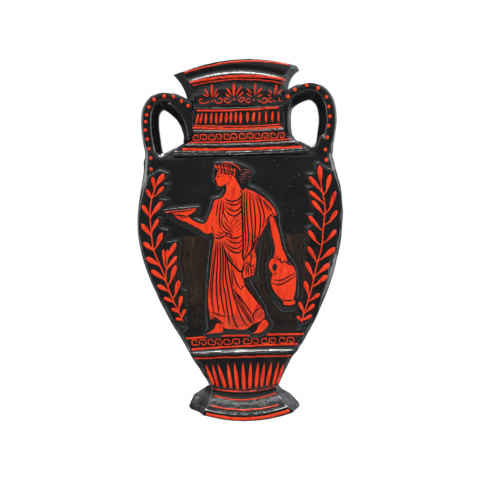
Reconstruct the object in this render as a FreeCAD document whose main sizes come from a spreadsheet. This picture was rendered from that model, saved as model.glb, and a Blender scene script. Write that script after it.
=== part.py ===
import FreeCAD, Part
import math
import os

# A souvenir relief of a two-handled neck vase: a flat back with two disc magnets let into it, and a
# front modelled like the near half of a turned vase. The front faces -Y, the back lies in the XZ plane,
# and the origin is on the back, halfway between the two magnets.

doc = FreeCAD.newDocument("relief_vase")

# Driving sizes, in millimetres. A depth is measured forward from the flat back.
sizes = {
    "vase_height": 90.0,
    "belly_width": 51.7,
    "blank_allowance": 0.5,
    "overrun": 2.0,
    # Belly: depths down its centre line, and how far its front falls back to the sides
    "shoulder_depth": 6.9,
    "crown_depth": 7.4,
    "thigh_depth": 6.95,
    "calf_depth": 6.3,
    "stem_depth": 5.6,
    "belly_bow": 2.4,
    "belly_inset": 0.6,
    "belly_bevel": 0.8,
    "bead_relief": 0.55,
    # Neck: each lower band stands prouder by a ledge
    "neck_depth": 6.6,
    "neck_ledge": 0.42,
    "neck_bow": 0.6,
    "neck_sag": 0.3,
    "neck_inset": 3.0,
    # Lip
    "lip_depth": 8.1,
    "lip_overhang": 1.1,
    "lip_ledge": 0.6,
    "throat_depth": 6.1,
    "throat_flare": 0.4,
    "lip_bow": 0.9,
    "lip_rise": 1.95,
    "lip_inset": 3.1,
    # Foot
    "foot_depth": 8.5,
    "foot_ledge": 0.4,
    "waist_depth": 5.9,
    "collar_relief": 0.6,
    "foot_bow": 0.9,
    "foot_drop": 1.4,
    # Handles: one section with a rounded outer edge and a broad bevel towards the opening
    "handle_width": 4.4,
    "handle_depth": 5.2,
    "handle_edge_radius": 0.7,
    "handle_bevel_width": 2.1,
    "handle_bevel_depth": 2.4,
    # Raised pictures on the belly
    "relief_height": 0.8,
    # Disc magnets in blind recesses, each on a bed of adhesive, with a margin up to the shoulder
    "magnet_diameter": 14.0,
    "magnet_thickness": 2.5,
    "magnet_clearance": 0.15,
    "magnet_margin": 2.8,
    "adhesive_thickness": 0.3,
}

sheet = doc.addObject("Spreadsheet::Sheet", "Sizes")
for line, (alias, value) in enumerate(sizes.items(), start=1):
    sheet.set(f"A{line}", alias)
    sheet.set(f"B{line}", str(value))
    sheet.setAlias(f"B{line}", alias)
doc.recompute()


def size(alias):
    return float(sheet.get(alias))


# Front outlines are shares: across from the centre line in 574ths of the belly's width, and up from the
# foot's lowest point in thousandths of the vase's height. An outline is a start and its runs: a run of
# one point is straight, a run of two is an arc through the first to the second, and a longer run is a
# smooth curve through its points.
width_shares = 574
height_shares = 1000
column = size("belly_width") / width_shares
row = size("vase_height") / height_shares
origin_share = 480
shoulder_share = 735

belly_shares = [
    (-260, 735),
    [(-270, 672), (-287, 553), (-244, 370), (-139, 170), (-91, 60)],
    [(91, 60)],
    [(139, 170), (244, 370), (287, 553), (270, 672), (260, 735)],
    [(-260, 735)],
]
neck_shares = [
    (-205, 735), [(218, 735)], [(218, 748)], [(163, 778)], [(150, 798)], [(151, 835), (148, 870)],
    [(-141, 870)], [(-148, 835), (-143, 797)], [(-150, 778)], [(-205, 748)], [(-205, 735)],
]
lip_shares = [
    (-141, 870), [(148, 870)], [(146, 903)], [(150, 940), (178, 972)], [(172, 985)],
    [(29, 1000), (-178, 969)], [(-150, 930), (-141, 903)], [(-141, 870)],
]
foot_back_shares = [
    (-152, 38), [(-143, 29)], [(-118, 19)], [(4, 0), (125, 17)], [(143, 23)], [(150, 31)], [(149, 42)],
    [(130, 65)], [(108, 81)], [(93, 100)], [(-97, 100)], [(-128, 83)], [(-144, 70)], [(-152, 38)],
]
foot_front_shares = [
    (-91, 38), [(-105, 28)], [(-112, 18)], [(4, 0), (125, 17)], [(128, 24)], [(113, 32)], [(97, 42)],
    [(78, 65)], [(80, 81)], [(88, 100)], [(-86, 100)], [(-65, 83)], [(-62, 70)], [(-91, 38)],
]
stem_joint_shares = [
    (-165, -30), [(-165, 119)], [(0, 80), (165, 119)], [(165, -30)], [(-165, -30)],
]
shoulder_joint_shares = [(-287, 600), [(-287, 735)], [(287, 735)], [(287, 600)], [(-287, 600)]]
figure_shares = [
    (-66, 716),
    [(-24, 719), (38, 694)],
    [(44, 684)], [(30, 664)], [(28, 652)],
    [(80, 617), (110, 563)],
    [(109, 540)], [(126, 466)], [(148, 434)],
    [(158, 378), (148, 322)],
    [(148, 304)], [(110, 304)],
    [(70, 376), (70, 440)],
    [(84, 462)], [(76, 527)], [(60, 502)], [(50, 440)], [(46, 394)],
    [(24, 388)], [(34, 368)], [(64, 318)], [(70, 292)], [(84, 270)], [(70, 246)],
    [(44, 236)], [(18, 236)], [(10, 246)], [(-38, 246)], [(-54, 239)], [(-112, 236)], [(-98, 262)],
    [(-101, 290)],
    [(-97, 395), (-83, 500)],
    [(-92, 512)],
    [(-150, 543), (-212, 577)],
    [(-212, 591)], [(-112, 598)], [(-108, 586)], [(-128, 568)], [(-102, 554)],
    [(-88, 580), (-77, 619)],
    [(-52, 625)], [(-44, 644)], [(-62, 646)], [(-74, 668)], [(-66, 716)],
]
laurel_left_shares = [
    (-250, 684), [(-217, 701)], [(-190, 690)], [(-207, 665)], [(-187, 659)], [(-221, 621)],
    [(-193, 617)], [(-225, 574)], [(-212, 565)], [(-222, 540)], [(-198, 534)], [(-204, 500)],
    [(-168, 506)], [(-162, 494)], [(-170, 450)], [(-160, 402)], [(-166, 372)], [(-150, 363)],
    [(-154, 330)], [(-148, 326)], [(-155, 262)], [(-164, 254)], [(-190, 280)], [(-206, 318)],
    [(-226, 346)], [(-240, 378)], [(-258, 422)], [(-270, 470)],
    [(-282, 545), (-272, 620)],
    [(-250, 684)],
]
laurel_right_shares = [
    (208, 706), [(217, 712)], [(232, 700)], [(258, 686)], [(268, 640)], [(274, 626)],
    [(285, 590)], [(278, 562)], [(283, 530)], [(270, 486)], [(268, 466)], [(244, 428)], [(238, 388)],
    [(222, 350)], [(208, 312)], [(200, 280)], [(160, 256)], [(150, 250)], [(145, 288)], [(152, 330)],
    [(165, 390)], [(170, 440)], [(176, 484)], [(180, 528)], [(198, 540)], [(182, 566)], [(202, 568)],
    [(193, 600)], [(188, 632)], [(182, 642)], [(200, 646)], [(184, 678)], [(204, 682)], [(208, 706)],
]

# The middle line of each handle, from inside the neck to below the shoulder
handle_left_shares = [
    (-112, 850), (-166, 886), (-212, 900), (-242, 870), (-245, 822), (-240, 778), (-232, 715),
]
handle_right_shares = [
    (112, 860), (160, 901), (212, 917), (247, 885), (254, 830), (245, 782), (241, 715),
]

# Profiles on the centre plane: a point is the name of a depth and a share of the height
belly_profile_shares = [
    ("behind", 40), [("stem", 40)], [("calf", 190)], [("thigh", 330)], [("crown", 515)],
    [("shoulder", 735)], [("shoulder", 760)], [("behind", 760)], [("behind", 40)],
]
belly_level_share = 515
bead_profile_shares = [
    ("root", 181), [("calf", 181)], [("bead", 186)], [("bead", 194)], [("calf", 199)], [("root", 199)],
    [("root", 181)],
]
bead_level_share = 190
# Each ledge of the neck: where it starts, where it ends and how many ledge sizes it stands out
neck_ledge_shares = [(870, 866, 0), (804, 800, 1), (766, 763, 2), (748, 743, 2.7), (740, 736, 3.2)]
neck_lean_share = 0.3
neck_top_share = 890
neck_bottom_share = 720
neck_level_share = 800
neck_span_share = 260
lip_profile_shares = [
    ("behind", 1020), [("brow", 1020)], [("brim", 991)], [("brim", 987)], [("tuck", 973)], [("ledge", 967)],
    [("ledge", 957)], [("cove", 942), ("throat", 918), ("throat", 896), ("skirt", 877)], [("throat", 873)],
    [("throat", 850)], [("behind", 850)], [("behind", 1020)],
]
lip_level_share = 967
lip_span_share = 276
foot_profile_shares = [
    ("behind", 140), [("collar", 140)], [("collar", 76)], [("waist", 71)], [("waist", 66)],
    [("hollow", 52), ("flare", 36), ("ledge", 21)], [("ledge", 19)], [("edge", 15)], [("edge", 2)],
    [("ledge", -30)], [("behind", -30)], [("behind", 140)],
]
foot_hollow_share = 0.25
foot_flare_share = 0.62
foot_level_share = 16
foot_span_share = 210


def spot(share):
    across, up = share
    return FreeCAD.Vector(across * column, (up - origin_share) * row, 0)


def inset(outline, amount):
    """The same outline with every point moved towards the centre line."""
    shift = amount / column

    def moved(share):
        across, up = share
        return (across - math.copysign(shift, across), up)

    return [moved(outline[0])] + [[moved(share) for share in run] for run in outline[1:]]


def draw(sketch, outline, place=spot):
    """Adds an outline's lines, arcs and curves to a sketch."""
    here = place(outline[0])
    for run in outline[1:]:
        points = [place(point) for point in run]
        if len(points) == 1:
            sketch.addGeometry(Part.LineSegment(here, points[0]))
        elif len(points) == 2:
            sketch.addGeometry(Part.Arc(here, points[0], points[1]))
        else:
            curve = Part.BSplineCurve()
            curve.interpolate([here] + points)
            sketch.addGeometry(curve)
        here = points[-1]


def add_sketch(body, name, role="XZ_Plane"):
    sketch = body.newObject("Sketcher::SketchObject", name)
    planes = [item for item in body.Origin.OriginFeatures if item.Role == role]
    sketch.AttachmentSupport = [(planes[0], "")]
    sketch.MapMode = "FlatFace"
    return sketch


def combine(kind, name, base, tool):
    """Part::Common keeps what both hold, Part::Cut takes the tool away and Part::Fuse adds it."""
    result = doc.addObject(kind, name)
    result.Base = base
    result.Tool = tool
    return result


def blank(name, back, front):
    """A flat-backed block whose sides lean in from the back outline to the front one."""
    body = doc.addObject("PartDesign::Body", name)
    back_sketch = add_sketch(body, name + "_back")
    draw(back_sketch, back)
    front_sketch = add_sketch(body, name + "_front")
    front_sketch.setExpression(
        "AttachmentOffset.Base.z", "max(Sizes.foot_depth; Sizes.lip_depth) + Sizes.blank_allowance"
    )
    draw(front_sketch, front)
    loft = body.newObject("PartDesign::AdditiveLoft", name + "_sides")
    loft.Profile = back_sketch
    loft.Sections = [front_sketch]
    loft.Ruled = True
    return body


def slab(name, outline):
    """A straight-sided block through more than the whole depth."""
    body = doc.addObject("PartDesign::Body", name)
    sketch = add_sketch(body, name + "_outline")
    draw(sketch, outline)
    pad = body.newObject("PartDesign::Pad", name + "_pad")
    pad.Profile = sketch
    pad.setExpression("Length", "max(Sizes.foot_depth; Sizes.lip_depth) + Sizes.overrun")
    return body


def turning(name, profile, depths, front, level_share, span_share, rise, bow):
    """A ring sector turned from a profile. From the front at the level given, its mouldings run to both
    sides in arcs that fall back by bow and drop by rise at the ends of the span, so its axis leans."""

    def place(point):
        depth, up = point
        return FreeCAD.Vector(-depths[depth], (up - origin_share) * row, 0)

    half_span = span_share * column / 2
    sag = math.hypot(rise, bow)
    radius = (half_span ** 2 + sag ** 2) / (2 * sag)
    centre = place((front, level_share)) + FreeCAD.Vector(bow, -rise, 0) * (radius / sag)
    lean = FreeCAD.Vector(rise, bow, 0) * (size("vase_height") / sag)
    body = doc.addObject("PartDesign::Body", name)
    sketch = add_sketch(body, name + "_profile", "YZ_Plane")
    draw(sketch, profile, place)
    sketch.addGeometry(Part.LineSegment(centre - lean, centre + lean), True)
    ring = body.newObject("PartDesign::Revolution", name + "_ring")
    ring.Profile = sketch
    ring.ReferenceAxis = (sketch, ["Axis0"])
    ring.Midplane = True
    ring.Angle = 2 * math.degrees(math.asin(min(1, size("belly_width") / radius)))
    return body


def rim_edges(shape):
    """Numbers, counted from one, of the edges where the front surface meets a side wall."""
    least_front_share = 0.8
    least_side_share = 0.4
    rims = []
    for number, edge in enumerate(shape.Edges, start=1):
        middle = edge.valueAt((edge.FirstParameter + edge.LastParameter) / 2)
        faces = shape.ancestorsOfType(edge, Part.Face)
        normals = [face.normalAt(*face.Surface.parameter(middle)) for face in faces]
        on_front = any(normal.y < -least_front_share for normal in normals)
        on_side = any(abs(normal.x) > least_side_share > -normal.y for normal in normals)
        if on_front and on_side:
            rims.append(number)
    return rims


def belly_turning(name, raised):
    """The belly's crown, standing prouder by raised."""
    levels = ("stem", "calf", "thigh", "crown", "shoulder")
    depths = {level: size(level + "_depth") + raised for level in levels}
    depths["behind"] = -size("overrun")
    depths["front"] = size("crown_depth")
    bow = size("belly_bow")
    return turning(name, belly_profile_shares, depths, "front", belly_level_share, width_shares, 0, bow)


recess_radius = "(Sizes.magnet_diameter / 2 + Sizes.magnet_clearance)"


def disc(name, radius, thickness, depth, side):
    """A disc square to the back, depth in front of it, in the upper or the lower recess."""
    cylinder = doc.addObject("Part::Cylinder", name)
    cylinder.Placement.Rotation = FreeCAD.Rotation(FreeCAD.Vector(1, 0, 0), 90)
    cylinder.setExpression("Radius", radius)
    cylinder.setExpression("Height", thickness)
    cylinder.setExpression("Placement.Base.y", f"-{depth}")
    level = f"Sizes.vase_height * {(shoulder_share - origin_share) / height_shares} - Sizes.magnet_margin"
    cylinder.setExpression("Placement.Base.z", f"{side} * ({level} - {recess_radius})")
    return cylinder


def rounded_path(shares):
    """Straight runs joined by tangent arcs, each as large as its two runs allow."""
    reach_share = 0.45
    points = [spot(share) for share in shares]
    path = []
    here = points[0]
    for before, corner, after in zip(points, points[1:], points[2:]):
        back = (before - corner).normalize()
        ahead = (after - corner).normalize()
        reach = reach_share * min((before - corner).Length, (after - corner).Length)
        half_turn = (math.pi - back.getAngle(ahead)) / 2
        radius = reach / math.tan(half_turn)
        middle = corner + (back + ahead).normalize() * (radius / math.cos(half_turn) - radius)
        path.append(Part.LineSegment(here, corner + back * reach))
        path.append(Part.Arc(corner + back * reach, middle, corner + ahead * reach))
        here = corner + ahead * reach
    path.append(Part.LineSegment(here, points[-1]))
    return path


def handle(name, shares, seats):
    """A strap led along its path, less what it is seated on."""
    body = doc.addObject("PartDesign::Body", name + "_strap")
    spine = add_sketch(body, name + "_path")
    path = rounded_path(shares)
    for piece in path:
        spine.addGeometry(piece)
    half = size("handle_width") / 2
    front = size("handle_depth")
    edge = size("handle_edge_radius")
    corner = edge * (1 - math.sqrt(0.5))
    outline = [
        (half, 0), [(half, front - edge)], [(half - corner, front - corner), (half - edge, front)],
        [(size("handle_bevel_width") - half, front)], [(-half, front - size("handle_bevel_depth"))],
        [(-half, 0)], [(half, 0)],
    ]
    section = body.newObject("Sketcher::SketchObject", name + "_section")
    draw(section, outline, lambda point: FreeCAD.Vector(point[0], point[1], 0))
    start = spot(shares[0])
    along = spot(shares[1]) - start
    outward = FreeCAD.Vector(-along.y, 0, along.x) * math.copysign(1, along.x)
    forward = FreeCAD.Vector(0, -1, 0)
    turn = FreeCAD.Rotation(outward, forward, outward.cross(forward), "ZXY")
    section.Placement = FreeCAD.Placement(FreeCAD.Vector(start.x, 0, start.y), turn)
    strap = body.newObject("PartDesign::AdditivePipe", name + "_pipe")
    strap.Profile = section
    strap.Spine = (spine, [f"Edge{number}" for number in range(1, len(path) + 1)])
    strap.Mode = "Binormal"
    strap.Binormal = FreeCAD.Vector(0, 1, 0)
    return combine("Part::Cut", name, body, seats)


# Belly: a crowned blank, bevelled along its rims, cut to the foot's joint and girdled by a bead
belly_blank = blank("belly_blank", belly_shares, inset(belly_shares, size("belly_inset")))
belly_crown = combine("Part::Common", "belly_crown", belly_blank, belly_turning("belly_turning", 0))
doc.recompute()
belly_bevelled = doc.addObject("Part::Chamfer", "belly_bevelled")
belly_bevelled.Base = belly_crown
bevel = size("belly_bevel")
belly_bevelled.Edges = [(number, bevel, bevel) for number in rim_edges(belly_crown.Shape)]
stem_joint = slab("stem_joint", stem_joint_shares)
belly_body = combine("Part::Cut", "belly_body", belly_bevelled, stem_joint)
calf = size("calf_depth")
bead_depths = {"root": calf - size("bead_relief"), "calf": calf, "bead": calf + size("bead_relief")}
bead_ring = turning(
    "bead_ring", bead_profile_shares, bead_depths, "calf", bead_level_share, width_shares, 0,
    size("belly_bow"),
)
bead = combine("Part::Common", "bead", belly_blank, bead_ring)
belly_solid = combine("Part::Fuse", "belly_solid", belly_body, bead)

# Magnets, their recesses in the belly's back and the adhesive that holds them
recess_depth = "Sizes.magnet_thickness + Sizes.adhesive_thickness"
for end, side in (("upper", 1), ("lower", -1)):
    recess = disc("recess_" + end, recess_radius, recess_depth, "0 mm", side)
    belly_solid = combine("Part::Cut", "belly_recessed_" + end, belly_solid, recess)
    disc("magnet_" + end, "Sizes.magnet_diameter / 2", "Sizes.magnet_thickness", "0 mm", side)
    disc("adhesive_" + end, recess_radius, "Sizes.adhesive_thickness", "Sizes.magnet_thickness", side)
belly_solid.Label = "belly"

# Foot: a collar, a hollow and a standing edge below a ledge
foot_depths = {
    "behind": -size("overrun"),
    "collar": size("stem_depth") + size("collar_relief"),
    "waist": size("waist_depth"),
    "ledge": size("foot_depth") - size("foot_ledge"),
    "edge": size("foot_depth"),
}
foot_spread = foot_depths["ledge"] - foot_depths["waist"]
foot_depths["hollow"] = foot_depths["waist"] + foot_spread * foot_hollow_share
foot_depths["flare"] = foot_depths["waist"] + foot_spread * foot_flare_share
foot_blank = blank("foot_blank", foot_back_shares, foot_front_shares)
foot_ring = turning(
    "foot_ring", foot_profile_shares, foot_depths, "edge", foot_level_share, foot_span_share,
    -size("foot_drop"), size("foot_bow"),
)
foot_turned = combine("Part::Common", "foot_turned", foot_blank, foot_ring)
combine("Part::Common", "foot", foot_turned, stem_joint)

# Neck: bands that lean back downwards, with a ledge between each and the prouder one below
neck_depths = {"behind": -size("overrun"), "low_top": size("neck_depth") - size("neck_ledge")}
neck_profile = [("behind", neck_top_share), [("low_top", neck_top_share)]]
low = "low_top"
for top, edge, steps in neck_ledge_shares:
    proud = f"proud_{edge}"
    neck_profile += [[(low, top)], [(proud, edge)]]
    neck_depths[proud] = size("neck_depth") + steps * size("neck_ledge")
    low = f"low_{edge}"
    neck_depths[low] = neck_depths[proud] - neck_lean_share * size("neck_ledge")
neck_profile += [
    [(low, neck_bottom_share)], [("behind", neck_bottom_share)], [("behind", neck_top_share)],
]
neck_depths["front"] = size("neck_depth")
neck_blank = blank("neck_blank", neck_shares, inset(neck_shares, size("neck_inset")))
neck_ring = turning(
    "neck_ring", neck_profile, neck_depths, "front", neck_level_share, neck_span_share,
    -size("neck_sag"), size("neck_bow"),
)
neck = combine("Part::Common", "neck", neck_blank, neck_ring)

# Lip: an overhanging brim, a ledge under it and the hollow throat, which flares to a skirt
lip_depths = {
    "behind": -size("overrun"),
    "brim": size("lip_depth"),
    "brow": size("lip_depth") - size("lip_ledge"),
    "tuck": size("lip_depth") - size("lip_overhang"),
    "ledge": size("lip_depth") - size("lip_overhang") + size("lip_ledge"),
    "throat": size("throat_depth"),
    "skirt": size("throat_depth") + size("throat_flare"),
}
lip_depths["cove"] = (lip_depths["ledge"] + lip_depths["throat"]) / 2
lip_blank = blank("lip_blank", lip_shares, inset(lip_shares, size("lip_inset")))
lip_ring = turning(
    "lip_ring", lip_profile_shares, lip_depths, "brim", lip_level_share, lip_span_share,
    size("lip_rise"), size("lip_bow"),
)
lip = combine("Part::Common", "lip", lip_blank, lip_ring)

# Raised pictures: what each outline holds of a thicker belly, less the belly itself
raised_turning = belly_turning("raised_turning", size("relief_height"))
raised_crown = combine("Part::Common", "raised_crown", belly_blank, raised_turning)
for name, outline in (
    ("figure_sprig", figure_shares),
    ("laurel_left", laurel_left_shares),
    ("laurel_right", laurel_right_shares),
):
    raised = combine("Part::Common", name + "_raised", slab(name + "_block", outline), raised_crown)
    combine("Part::Cut", name, raised, belly_body)

# Handles, seated on the neck, the lip's throat and the belly's flat shoulder
handle_seats = doc.addObject("Part::MultiFuse", "handle_seats")
handle_seats.Shapes = [neck, lip, slab("shoulder_joint", shoulder_joint_shares)]
handle("handle_left", handle_left_shares, handle_seats)
handle("handle_right", handle_right_shares, handle_seats)
doc.recompute()

nodes = [
    "belly", "neck", "lip", "foot", "handle_left", "handle_right", "figure_sprig", "laurel_left",
    "laurel_right", "magnet_upper", "magnet_lower", "adhesive_upper", "adhesive_lower",
]
failed = [item.Name for item in doc.Objects if "Invalid" in item.State or "Error" in item.State]
if failed:
    raise RuntimeError(f"These features failed: {failed}")
shapes = {label: doc.getObjectsByLabel(label)[0].Shape for label in nodes}
for label, shape in shapes.items():
    if shape.isNull() or not shape.isValid() or len(shape.Solids) != 1:
        raise RuntimeError(f"{label} is not one valid solid")

os.makedirs("parts", exist_ok=True)
for label, shape in shapes.items():
    shape.exportStep(f"parts/{label}.step")
    print(label, round(shape.Volume, 1))
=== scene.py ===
import math
import random

import bmesh
import bpy
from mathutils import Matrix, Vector
from mathutils.bvhtree import BVHTree
from mathutils.interpolate import poly_3d_calc
from mathutils.noise import noise as waver


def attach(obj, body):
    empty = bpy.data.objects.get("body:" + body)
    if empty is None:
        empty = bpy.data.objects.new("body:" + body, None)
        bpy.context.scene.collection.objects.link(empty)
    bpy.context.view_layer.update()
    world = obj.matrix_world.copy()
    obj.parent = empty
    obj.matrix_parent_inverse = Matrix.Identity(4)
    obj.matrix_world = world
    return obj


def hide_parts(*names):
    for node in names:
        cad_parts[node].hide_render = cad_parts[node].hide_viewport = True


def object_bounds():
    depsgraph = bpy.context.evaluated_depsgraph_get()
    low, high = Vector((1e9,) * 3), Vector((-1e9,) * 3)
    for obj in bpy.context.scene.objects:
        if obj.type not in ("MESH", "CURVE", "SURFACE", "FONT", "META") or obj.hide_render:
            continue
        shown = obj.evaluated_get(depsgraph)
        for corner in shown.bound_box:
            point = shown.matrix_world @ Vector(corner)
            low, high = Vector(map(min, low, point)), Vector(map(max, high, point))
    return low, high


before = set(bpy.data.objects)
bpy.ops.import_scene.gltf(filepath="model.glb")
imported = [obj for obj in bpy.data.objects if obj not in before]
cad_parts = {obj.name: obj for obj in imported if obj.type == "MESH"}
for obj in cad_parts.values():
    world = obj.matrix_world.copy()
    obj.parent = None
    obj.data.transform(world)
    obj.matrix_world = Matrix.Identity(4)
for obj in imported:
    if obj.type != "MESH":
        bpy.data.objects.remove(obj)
cadBox = [list(corner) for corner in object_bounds()]
scene = bpy.context.scene
rng = random.Random(11)
print("frame loaded")

# The decoration is written on a drawing grid: across from the centre line and up from the foot's lowest
# point, a thousand steps to the vase's height
drawing = {"step": 0.00009, "originLevel": 480}


def onDrawing(x, z, y=0.0):
    return Vector((x * drawing["step"], y, (z - drawing["originLevel"]) * drawing["step"]))


def levelOf(place):
    return place.z / drawing["step"] + drawing["originLevel"]


# Materials
def newMaterial(name):
    material = bpy.data.materials.new(name)
    material.use_nodes = True
    nodes, links = material.node_tree.nodes, material.node_tree.links
    place = nodes.new("ShaderNodeTexCoord").outputs["Object"]
    return material, nodes, links, nodes["Principled BSDF"], place


def noise(nodes, links, vector, scale, detail=3.0, distortion=0.0):
    node = nodes.new("ShaderNodeTexNoise")
    node.inputs["Scale"].default_value = scale
    node.inputs["Detail"].default_value = detail
    node.inputs["Distortion"].default_value = distortion
    links.new(vector, node.inputs["Vector"])
    return node.outputs["Fac"]


def stretch(nodes, links, vector, scale):
    node = nodes.new("ShaderNodeMapping")
    node.inputs["Scale"].default_value = scale
    links.new(vector, node.inputs["Vector"])
    return node.outputs["Vector"]


def ramp(nodes, links, factor, stops):
    node = nodes.new("ShaderNodeValToRGB")
    elements = node.color_ramp.elements
    while len(elements) < len(stops):
        elements.new(0.5)
    for element, (position, color) in zip(elements, stops):
        element.position = position
        element.color = (*color, 1)
    links.new(factor, node.inputs["Fac"])
    return node.outputs["Color"]


def between(nodes, links, value, low, high):
    node = nodes.new("ShaderNodeMapRange")
    node.inputs["From Min"].default_value = low
    node.inputs["From Max"].default_value = high
    links.new(value, node.inputs["Value"])
    return node.outputs["Result"]


def bump(nodes, links, shader, height, distance, strength=1.0, after=None):
    node = nodes.new("ShaderNodeBump")
    node.inputs["Distance"].default_value = distance
    node.inputs["Strength"].default_value = strength
    links.new(height, node.inputs["Height"])
    if after:
        links.new(after, node.inputs["Normal"])
    links.new(node.outputs["Normal"], shader.inputs["Normal"])
    return node.outputs["Normal"]


def mottle(nodes, links, shader, clouds, look):
    # The finish clouds between its dark and its light tone
    low, high = look.get("cloudSpan", (0.35, 0.7))
    links.new(ramp(nodes, links, clouds, [(low, look["dark"]), (high, look["light"])]),
              shader.inputs["Base Color"])
    if "roughness" in look:
        shader.inputs["Roughness"].default_value = look["roughness"]


glazeLook = {
    "dark": (0.005, 0.006, 0.007), "light": (0.011, 0.012, 0.013), "cloudScale": 180, "ior": 1.5,
    "smooth": 0.05, "dull": 0.15, "patchScale": 420,
    "peel": 0.00003, "peelScale": 700, "pinhole": 0.00004, "pinholeScale": 2600,
    "grit": 0.00006, "gritScale": 850, "gritFrom": -0.94, "gritFull": -0.75,
}


def makeBlackGlaze(look):
    material, nodes, links, shader, place = newMaterial("blackGlaze")
    shader.inputs["IOR"].default_value = look["ior"]
    mottle(nodes, links, shader, noise(nodes, links, place, look["cloudScale"], 4), look)
    patches = noise(nodes, links, place, look["patchScale"], 5, 0.6)
    links.new(ramp(nodes, links, patches, [(0.4, (look["smooth"],) * 3), (0.75, (look["dull"],) * 3)]),
              shader.inputs["Roughness"])
    orangePeel = noise(nodes, links, place, look["peelScale"], 3)
    peeled = bump(nodes, links, shader, orangePeel, look["peel"], 0.5)
    pinholes = ramp(nodes, links, noise(nodes, links, place, look["pinholeScale"], 1),
                    [(0.2, (0, 0, 0)), (0.3, (1, 1, 1))])
    pinholed = bump(nodes, links, shader, pinholes, look["pinhole"], 0.4, peeled)
    # The glaze runs thin and gritty on everything that slants
    facing = nodes.new("ShaderNodeSeparateXYZ")
    links.new(nodes["Texture Coordinate"].outputs["Normal"], facing.inputs[0])
    grit = nodes.new("ShaderNodeMath")
    grit.operation = "MULTIPLY"
    links.new(between(nodes, links, facing.outputs["Y"], look["gritFrom"], look["gritFull"]), grit.inputs[0])
    links.new(noise(nodes, links, place, look["gritScale"], 3), grit.inputs[1])
    bump(nodes, links, shader, grit.outputs[0], look["grit"], 0.6, pinholed)
    return material


redLook = {
    "tones": [(0.3, (0.60, 0.016, 0.004)), (0.48, (0.95, 0.05, 0.01)), (0.6, (0.95, 0.05, 0.01)),
              (0.74, (1.0, 0.11, 0.016))],
    "brushing": (1.0, 1.0, 0.25), "brushScale": 900, "relief": 0.00002, "roughness": 0.36, "shine": 0.2,
}


def makeRedSlip(look):
    material, nodes, links, shader, place = newMaterial("redSlip")
    brushed = stretch(nodes, links, place, look["brushing"])
    brushing = noise(nodes, links, brushed, look["brushScale"], 4, 0.4)
    links.new(ramp(nodes, links, brushing, look["tones"]), shader.inputs["Base Color"])
    shader.inputs["Roughness"].default_value = look["roughness"]
    shader.inputs["Specular IOR Level"].default_value = look["shine"]
    bump(nodes, links, shader, brushing, look["relief"], 0.5)
    return material


thinLook = {"dark": (0.03, 0.012, 0.01), "light": (0.35, 0.03, 0.015), "cloudScale": 1500, "roughness": 0.3}


def makeThinGlaze(look):
    # Black brushed thinly over the red, as on the borders of the gown
    material, nodes, links, shader, place = newMaterial("thinGlaze")
    mottle(nodes, links, shader, noise(nodes, links, place, look["cloudScale"], 4), look)
    return material


inkLook = {
    "dark": (0.004, 0.004, 0.004), "light": (0.012, 0.009, 0.008), "cloudScale": 1800,
    "roughness": 0.4, "shine": 0.12,
}


def makeInk(look):
    # Drawn black lines stay duller than the glaze
    material, nodes, links, shader, place = newMaterial("ink")
    mottle(nodes, links, shader, noise(nodes, links, place, look["cloudScale"], 3), look)
    shader.inputs["Specular IOR Level"].default_value = look["shine"]
    return material


ferriteLook = {
    "dark": (0.028, 0.028, 0.03), "light": (0.055, 0.055, 0.058), "grainScale": 2500, "grain": 0.00002,
    "roughness": 0.48, "ringScale": 900, "ringWaver": 1.5, "ring": 0.000008,
}


def makeFerrite(look):
    material, nodes, links, shader, place = newMaterial("ferrite")
    grain = noise(nodes, links, place, look["grainScale"], 5)
    mottle(nodes, links, shader, grain, look)
    rings = nodes.new("ShaderNodeTexWave")  # the faint marks of the grinding wheel
    rings.inputs["Scale"].default_value = look["ringScale"]
    rings.inputs["Distortion"].default_value = look["ringWaver"]
    links.new(place, rings.inputs["Vector"])
    grained = bump(nodes, links, shader, grain, look["grain"], 0.5)
    bump(nodes, links, shader, rings.outputs["Fac"], look["ring"], 0.3, grained)
    return material


adhesiveLook = {
    "dark": (0.5, 0.46, 0.34), "light": (0.62, 0.58, 0.45), "cloudScale": 700, "cloudSpan": (0.3, 0.7),
    "roughness": 0.35, "glow": 0.2,
}


def makeAdhesive(look):
    material, nodes, links, shader, place = newMaterial("adhesive")
    mottle(nodes, links, shader, noise(nodes, links, place, look["cloudScale"], 3), look)
    shader.inputs["Subsurface Weight"].default_value = look["glow"]
    return material


blackGlaze = makeBlackGlaze(glazeLook)
redSlip = makeRedSlip(redLook)
thinGlaze = makeThinGlaze(thinLook)
ink = makeInk(inkLook)
ferrite = makeFerrite(ferriteLook)
adhesive = makeAdhesive(adhesiveLook)
print("materials made")


# Meshes
def meshOf(holder):
    # The holder's mesh with its modifiers or its curve's thickness applied
    evaluated = holder.evaluated_get(bpy.context.evaluated_depsgraph_get())
    mesh = bpy.data.meshes.new_from_object(evaluated)
    bpy.data.objects.remove(holder)
    return mesh


def holderOf(data):
    holder = bpy.data.objects.new(data.name, data)
    scene.collection.objects.link(holder)
    return holder


def finish(name, mesh, material, slot, *replaced):
    mesh.materials.clear()
    mesh.materials.append(material)
    mesh.shade_smooth()
    piece = bpy.data.objects.new(name, mesh)
    scene.collection.objects.link(piece)
    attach(piece, "root")
    if replaced:
        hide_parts(*replaced)


def skinOf(*meshes):
    joined = bmesh.new()
    for mesh in meshes:
        joined.from_mesh(mesh)
    tree = BVHTree.FromBMesh(joined)
    joined.free()
    return tree


def along(table, level):
    # The table's value at a level, eased from each entry to the next
    for (low, first), (high, second) in zip(table, table[1:]):
        if low <= level <= high:
            share = (level - low) / (high - low)
            return first + (second - first) * share * share * (3 - 2 * share)
    return 0.0


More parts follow.
